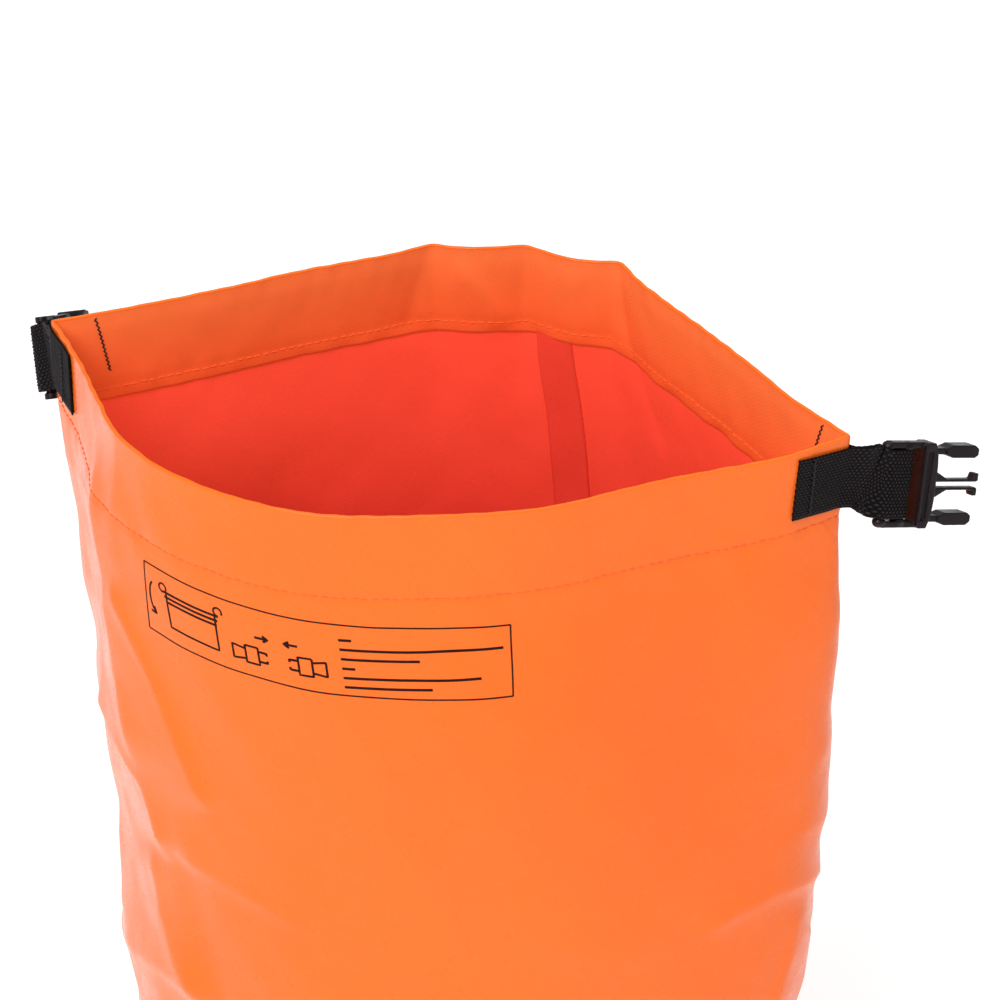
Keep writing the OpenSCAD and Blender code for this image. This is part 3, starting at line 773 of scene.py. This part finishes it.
def build_webbing(name, centre, across, start_s=0.0):
    """A strip of webbing swept along a path, with its woven face and thick edges."""
    tangent = unit(np.gradient(centre, axis=0))
    normal = unit(np.cross(tangent, unit(across)))
    width_dir = np.cross(normal, tangent)
    s = start_s + distances(centre)
    half = WEB_W / 2 - 0.25
    w = np.linspace(-half, half, 105)
    ss, ww = np.meshgrid(s, w, indexing="ij")
    # the two faces' yarns are half a repeat apart
    high, under = weave_height(ss, ww + 50), weave_height(ss + 0.78, ww + 50)
    edge = np.sqrt(np.clip(1 - (np.abs(ww) / (half + 0.35)) ** 14, 0.12, 1))
    base = WEB_T / 2 - 0.15
    wobble = 0.10 * np.sin(ss * 2 * math.pi / YARN_S + 1.0) * (np.abs(ww) > half - 0.4)
    middle = centre[:, None] + (ww + np.sign(ww) * wobble)[..., None] * width_dir[:, None]
    top = middle + normal[:, None] * ((base + high) * edge)[..., None]
    bottom = middle - normal[:, None] * ((base + under) * edge)[..., None]
    # the selvedge: one more row of points at each side, standing out by a yarn
    bulge = 0.25 + 0.10 * np.cos(2 * math.pi * s / YARN_S)
    out = width_dir * (half + bulge)[:, None]
    ring = np.concatenate([top, (centre + out)[:, None], bottom[:, ::-1], (centre - out)[:, None]], axis=1)
    rows, columns = ring.shape[:2]
    faces = grid_faces(rows, columns, close_columns=True).tolist()
    m = len(w)
    for k in (0, (rows - 1) * columns):
        quads = [[k + i, k + i + 1, k + (2 * m - i - 1), k + (2 * m - i)] for i in range(m - 1)]
        cap = quads + [[k, k + 2 * m, k + 2 * m + 1], [k + m - 1, k + m, k + m + 1]]
        faces += cap if k else flipped(cap)
    obj = make_mesh(name, ring.reshape(-1, 3), faces)
    # each point's yarn height, which the webbing's material turns into painted shade between the yarns and a
    # painted shine on their crowns
    none = np.zeros((rows, 1))
    crown = np.concatenate([high, none, under[:, ::-1], none], axis=1) + WEAVE_LOW
    layer = obj.data.attributes.new("crown", "FLOAT", "POINT")
    layer.data.foreach_set("value", np.clip(crown / WEAVE_H, 0, 1).astype(np.float32).ravel())
    obj.data.materials.append(WEB_MAT)
    return obj


def on_axes(axes, origin, x, y, z=0.0):
    """A point given in a buckle half's own axes."""
    return origin + axes @ np.array((x, y, z), float)


def tab_line(a_from, a_to, drop_from=0.0, drop_to=0.0):
    """The tab's middle line on the wall, as points and the direction across it."""
    a, drop = np.linspace(a_from, a_to, 9), np.linspace(drop_from, drop_to, 9)
    lean_a = (drop_to - drop_from) / (a_to - a_from) * WEB_W / 2
    mid = wall(a, TAB_DROP + WEB_W / 2 + drop, 0.12 + WEB_T / 2)
    across = wall(a + lean_a, TAB_DROP + drop, 0.4) - wall(a - lean_a, TAB_DROP + WEB_W + drop, 0.4)
    return list(np.concatenate([mid, unit(across)], axis=1))


def strap_points(corner, bar, side, axes, share, drop=0.0):
    """Points of one layer between the mouth's corner, this far below its joint, and the bar."""
    way = bar - corner
    reach = np.hypot(way[0], way[1])
    flat = unit(np.array((way[0], way[1], 0.0)))
    beside = side * 0.72 * np.array((-flat[1], flat[0], 0.0))
    made = []
    for t in share:
        turned = step(t, 0.1, 0.9)
        across = (1 - turned) * np.array((0, 0, 1.0)) + turned * axes[:, 2]
        fall = way[2] * (t ** 1.4) - drop * (1 - t) ** 2
        made.append(np.concatenate([corner + flat * reach * t + (0, 0, fall) + beside, across]))
    return made


def build_plug_webbing():
    """The strip on the plug side, in three pieces: front, back and the loop on the buckle's bars."""
    front, back = (tab_line(GIRTH / 2 + s * PLUG_TAB_END, GIRTH / 2 + s * CORNER_GAP,
                            TAB_FAR_DROP, TAB_NEAR_DROP) for s in (-1, 1))
    near, far = (strap_points(PLUG_CORNER, PLUG_BAR, s, PLUG_AXES, (0.32, 0.5), TAB_NEAR_DROP)
                 for s in (-1, 1))
    r = 2.35                 # of the turn round the middle bar
    over = [(-2.6, -1.9), (-0.2, -2.75), (3.8, -2.72), (7.2, -2.5)]
    turn_round = [(8 + r * math.sin(t), -r * math.cos(t)) for t in np.radians((20, 60, 90, 120, 160))]
    under = [(7.2, 2.5), (3.8, 2.72), (-0.2, 2.75), (-2.6, 1.9)]
    loop = [np.concatenate([on_axes(PLUG_AXES, PLUG_BAR, x, y, 0.35), PLUG_AXES[:, 2]])
            for x, y in over + turn_round + under]
    even = curve_through(front + near + loop + far[::-1] + back[::-1], SPACING_WEB)
    points, across = even[:, :3], even[:, 3:]
    # the strip is cut where it is half-way from the corner to the buckle
    middle = (near[1][:3] + far[1][:3]) / 2
    way = unit((PLUG_BAR - PLUG_CORNER) * (1, 1, 0))
    beyond = np.nonzero((points - middle) @ way > 0)[0]
    first, last = beyond[0], beyond[-1]
    length = distances(points)
    return [build_webbing(name, points[i:j], across[i:j], length[i])
            for name, i, j in (("plug_webbing_front", 0, first + 1), ("plug_webbing_back", last, len(points)),
                               ("plug_webbing_loop", first, last + 1))]


def build_socket_webbing():
    """The slack loop that holds the socket, with its two tabs."""
    front, back = (tab_line(s * (CORNER_GAP + TAB_LENGTH), s * CORNER_GAP) for s in (1, -1))
    come = math.atan2(*(SOCKET_AXES.T @ (SOCKET_BAR - SOCKET_CORNER))[1::-1])
    # round the far side of the bar, from the front layer to the back one
    ring = [[LOOP_SLACK * f(come) - LOOP_R * f(come + t) for f in (math.cos, math.sin)]
            for t in np.radians((75, 110, 145, 180, 215, 250, 285))]
    loop = [np.concatenate([on_axes(SOCKET_AXES, SOCKET_BAR, *p), SOCKET_AXES[:, 2]]) for p in ring]
    near, far = (strap_points(SOCKET_CORNER, SOCKET_BAR, s, SOCKET_AXES, (0.3, 0.48, 0.64)) for s in (1, -1))
    start = near[-1][:3]
    if np.linalg.norm(loop[0][:3] - start) > np.linalg.norm(loop[-1][:3] - start):
        loop = loop[::-1]
    even = curve_through(front + near + loop + far[::-1] + back[::-1], SPACING_WEB)
    return build_webbing("socket_webbing", even[:, :3], even[:, 3:])


# ---- buckle ------------------------------------

def apply_modifiers(obj):
    bpy.context.view_layer.update()
    done = bpy.data.meshes.new_from_object(obj.evaluated_get(bpy.context.evaluated_depsgraph_get()))
    obj.modifiers.clear()
    old, obj.data = obj.data, done
    bpy.data.meshes.remove(old)


def box_part(origin, low, high):
    """An upright box in the plug's own axes, as points and faces."""
    (x0, y0, z0), (x1, y1, z1) = low, high
    corners = [(x0, y0, z0), (x1, y0, z0), (x1, y1, z0), (x0, y1, z0),
               (x0, y0, z1), (x1, y0, z1), (x1, y1, z1), (x0, y1, z1)]
    faces = [(3, 2, 1, 0), (4, 5, 6, 7), (0, 1, 5, 4), (1, 2, 6, 5), (2, 3, 7, 6), (3, 0, 4, 7)]
    return np.array([on_axes(PLUG_AXES, origin, *c) for c in corners]), faces


def ball_part(centre, size, rings=14, sides=20):
    """An ellipsoid in the plug's own axes."""
    lat = np.linspace(0.08, math.pi - 0.08, rings)
    lon = np.linspace(0, 2 * math.pi, sides, endpoint=False)
    verts = [on_axes(PLUG_AXES, PLUG_BAR, centre[0] + size[0] * math.sin(p) * math.cos(t),
                     centre[1] + size[1] * math.sin(p) * math.sin(t), centre[2] + size[2] * math.cos(p))
             for p in lat for t in lon]
    *quads, first, last = tube_faces(rings, sides)
    return np.array(verts), flipped(quads) + [first, last]


def rod_part(x, y, z, length, radius, sides=24):
    """A cylinder along the plug's thickness."""
    turn = np.linspace(0, 2 * math.pi, sides, endpoint=False)
    verts = [on_axes(PLUG_AXES, PLUG_BAR, x + radius * math.cos(t), y + end * length,
                     z + radius * math.sin(t)) for end in (-0.5, 0.5) for t in turn]
    *quads, first, last = tube_faces(2, sides)
    return np.array(verts), quads + flipped([first, last])


def moulded(name, node, voxel, keep, extra=(), cuts=()):
    """One moulded piece from a copy of a CAD node plus added detail, with softened edges."""
    mesh = frame["nodes"][node].data
    v = np.empty(len(mesh.vertices) * 3)
    mesh.vertices.foreach_get("co", v)
    obj = join_parts(name, [(v.reshape(-1, 3) * 1000, [p.vertices for p in mesh.polygons]), *extra])
    obj.modifiers.new("weld", "WELD").merge_threshold = 0.00001

    def remesh():
        tool = obj.modifiers.new("remesh", "REMESH")
        tool.mode, tool.voxel_size = "VOXEL", voxel * MM

    remesh()
    tools = [make_mesh(f"{name}_tool_{k}", v, f) for k, (v, f) in enumerate(cuts)]
    for tool in tools:
        cut = obj.modifiers.new("cut", "BOOLEAN")
        cut.operation, cut.object, cut.solver = "DIFFERENCE", tool, "EXACT"
    if cuts:
        remesh()
    soft = obj.modifiers.new("soft", "SMOOTH")
    soft.factor, soft.iterations = 0.5, 3
    obj.modifiers.new("thin", "DECIMATE").ratio = keep
    apply_modifiers(obj)
    for tool in tools:
        bpy.data.objects.remove(tool)
    obj.data.polygons.foreach_set("use_smooth", [True] * len(obj.data.polygons))
    return obj


def build_plug():
    extra, cuts = [], []
    for s in (-1, 1):
        # each rail swells round the bars' ends and thins between them
        extra.append(ball_part((0, 0, s * 13.7), (2.5, 2.5, 2.1)))
        extra.append(ball_part((8, 0, s * 13.5), (2.9, 2.6, 2.2)))
        cuts.append(rod_part(3.9, 0, s * 16.5, 12, 2.1))
    # the plate's face is dished between a thin rim at its front edge and the slot
    for y0, y1 in ((-6, -2.8), (2.8, 6)):
        cuts.append(box_part(PLUG_BAR, (15.2, y0, -12.6), (17.6, y1, 12.6)))
    obj = moulded("buckle_plug", "plug_frame", 0.26, 0.4, extra, cuts)
    finish(obj, "plug", ["plug_frame"], BUCKLE_MAT)


def build_arms():
    for side in ("upper", "lower"):
        node, body = f"{side}_latch_arm", f"{side}_latch"
        # its root runs on into the plate
        root = box_part(joint_at[f"{body}_press"], (-0.5, -2.25, -1.12), (0.8, 2.25, 1.12))
        obj = moulded(f"latch_arm_{side}", node, 0.22, 0.5, [root])
        finish(obj, body, [node], BUCKLE_MAT)


def build_socket():
    obj = moulded("buckle_socket", "socket_body", 0.28, 0.4)
    finish(obj, "socket", ["socket_body"], BUCKLE_MAT)


# ---- the printed panel -------------------------

def ink_line(points, width):
    """A thin printed line on the wall through (a, d) points, as a closed strip."""
    p = np.asarray(points, float)
    s = distances(p)
    keep = np.unique(np.concatenate([np.linspace(0, s[-1], max(2, int(s[-1] / 1.2) + 1)), s]))
    line = at_distances(keep, s, p)
    tangent = np.gradient(line, axis=0)
    tangent /= np.maximum(np.linalg.norm(tangent, axis=1), 1e-6)[:, None]
    side = np.stack([-tangent[:, 1], tangent[:, 0]], axis=1) * width / 2
    left, right = line + side, line - side
    rows = [wall(edge[:, 0], edge[:, 1], out)
            for edge, out in ((left, 0.10), (right, 0.10), (right, 0.02), (left, 0.02))]
    *quads, first, last = tube_faces(len(line), 4)
    return np.stack(rows, axis=1).reshape(-1, 3), quads + flipped([first, last])


def build_print():
    parts = []

    def draw(width, *points):
        parts.append(ink_line(points, width))

    # the frame
    corners = [(105, 41.5), (243, 45), (240.5, 72.5), (102.5, 70)]
    for i in range(4):
        draw(0.55, corners[i], corners[(i + 1) % 4])
    # first pictogram: the mouth rolled down on itself, with a curved arrow beside it
    draw(0.80, (115, 50), (115, 64), (137, 64.5), (137, 50.5))
    for k in range(3):
        draw(0.90, (113.5 + 0.5 * k, 50 + 1.9 * k), (138.5 - 0.5 * k, 50.5 + 1.9 * k))
    for x0 in (113.5, 138.5):
        draw(0.70, *((x0 + 1.7 * math.cos(t), 48.6 + 1.7 * math.sin(t))
                     for t in np.radians(np.arange(90, 400, 20))))
    arrow = [(109.2 - 3.0 * math.cos(t), 55 - 6.8 * math.sin(t)) for t in np.radians(np.arange(-70, 71, 10))]
    draw(0.80, *arrow)
    end = np.array(arrow[0])
    draw(0.90, end + (-2.6, -0.2), end, end + (-0.6, -2.6))
    # second pictogram: two halves of a clip, moving together
    for s, x0 in ((1, 148.0), (-1, 173.0)):
        def half(width, *points):
            draw(width, *((x0 + s * x, y) for x, y in points))

        half(0.80, (0, 58.5), (5, 58.5), (5, 65.5), (0, 65.5), (0, 58.5))
        half(0.80, (0, 60), (-5, 59.2), (-5, 64.8), (0, 64))
        half(0.90, (5, 60), (8.2, 60), (8.2, 61))
        half(0.90, (5, 64), (8.2, 64), (8.2, 63))
        half(0.90, (4.5, 54.2), (9.5, 54.2))
        half(0.90, (7.6, 53.0), (9.5, 54.2), (7.6, 55.4))
    # plain bars where a real bag has lines of text
    for k, length in enumerate((4.5, 56, 27, 4.5, 47, 30)):
        d = 49.6 + 3.7 * k
        draw(0.95, (183.5, d), (183.5 + length, d))
    finish(join_parts("printed_panel", parts), "bag", [], INK_MAT)


# ---- build -------------------------------------

for build in (build_tube, build_lap, build_blade, build_base, build_hem_thread):
    build()
build_tack("plug_tab_tack", "plug_tab_stitches", GIRTH / 2 - CORNER_GAP - 0.62 * TAB_LENGTH,
           GIRTH / 2 + CORNER_GAP + 0.5 * TAB_LENGTH, 4.5)
build_tack("socket_tab_tack", "socket_tab_stitches", CORNER_GAP + 0.62 * TAB_LENGTH,
           GIRTH - CORNER_GAP - 0.62 * TAB_LENGTH, -4.5)
build_print()

web_front, web_back, web_loop = build_plug_webbing()
for piece, node in ((web_front, "plug_tab_front"), (web_back, "plug_tab_back")):
    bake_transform(piece)
    finish(piece, None, [node, "plug_strap_free"] if piece is web_front else [node])
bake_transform(web_loop)
finish(web_loop, None, ["plug_strap_wrap"])

web_socket = build_socket_webbing()
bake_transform(web_socket)
finish(web_socket, None, ["socket_tab_front", "socket_tab_back", "socket_strap_loop"])

build_plug()
build_arms()
build_socket()


# ---- floor and light ---------------------------

def build_floor():
    corners = [(x, y, -0.0004) for x, y in ((-12, -12), (12, -12), (12, 12), (-12, 12))]
    mesh = bpy.data.meshes.new("floor")
    mesh.from_pydata(corners, [], [(0, 1, 2, 3)])
    floor = bpy.data.objects.new("floor", mesh)
    scene.collection.objects.link(floor)
    mesh.materials.append(new_material("floor_paper", Base_Color=(0.93, 0.93, 0.93, 1), Roughness=0.9,
                                       Specular_IOR_Level=0.1, Emission_Color=(1, 1, 1, 1),
                                       Emission_Strength=0.42)[0])


def area_light(name, place, target, size, power):
    data = bpy.data.lights.new(name, "AREA")
    data.size, data.energy = size, power
    light = bpy.data.objects.new(name, data)
    light.location = place
    light.rotation_mode = "QUATERNION"
    light.rotation_quaternion = (Vector(target) - Vector(place)).to_track_quat("-Z", "Y")
    scene.collection.objects.link(light)


def build_light():
    scene.world = bpy.data.worlds.new("studio")
    scene.world.use_nodes = True
    n = Nodes(scene.world.node_tree)
    # the white walls are a little brighter on the left
    generated = n.add("ShaderNodeTexCoord").outputs["Generated"]
    sideways = n.add("ShaderNodeSeparateXYZ", i0=generated).outputs[0]
    n.feed(n.tree.nodes["Background"], i0=(1, 1, 1, 1), i1=n.scaled(sideways, -0.05, 0.38))
    area_light("front_softbox", (-0.26, -1.6, 2.3), (0, 0, 0.45), 1.3, 45)
    area_light("top_softbox", (0.1, 0.4, 2.4), (0, 0, 0.4), 2.0, 16)


build_floor()
build_light()
scene.view_settings.view_transform = "Standard"
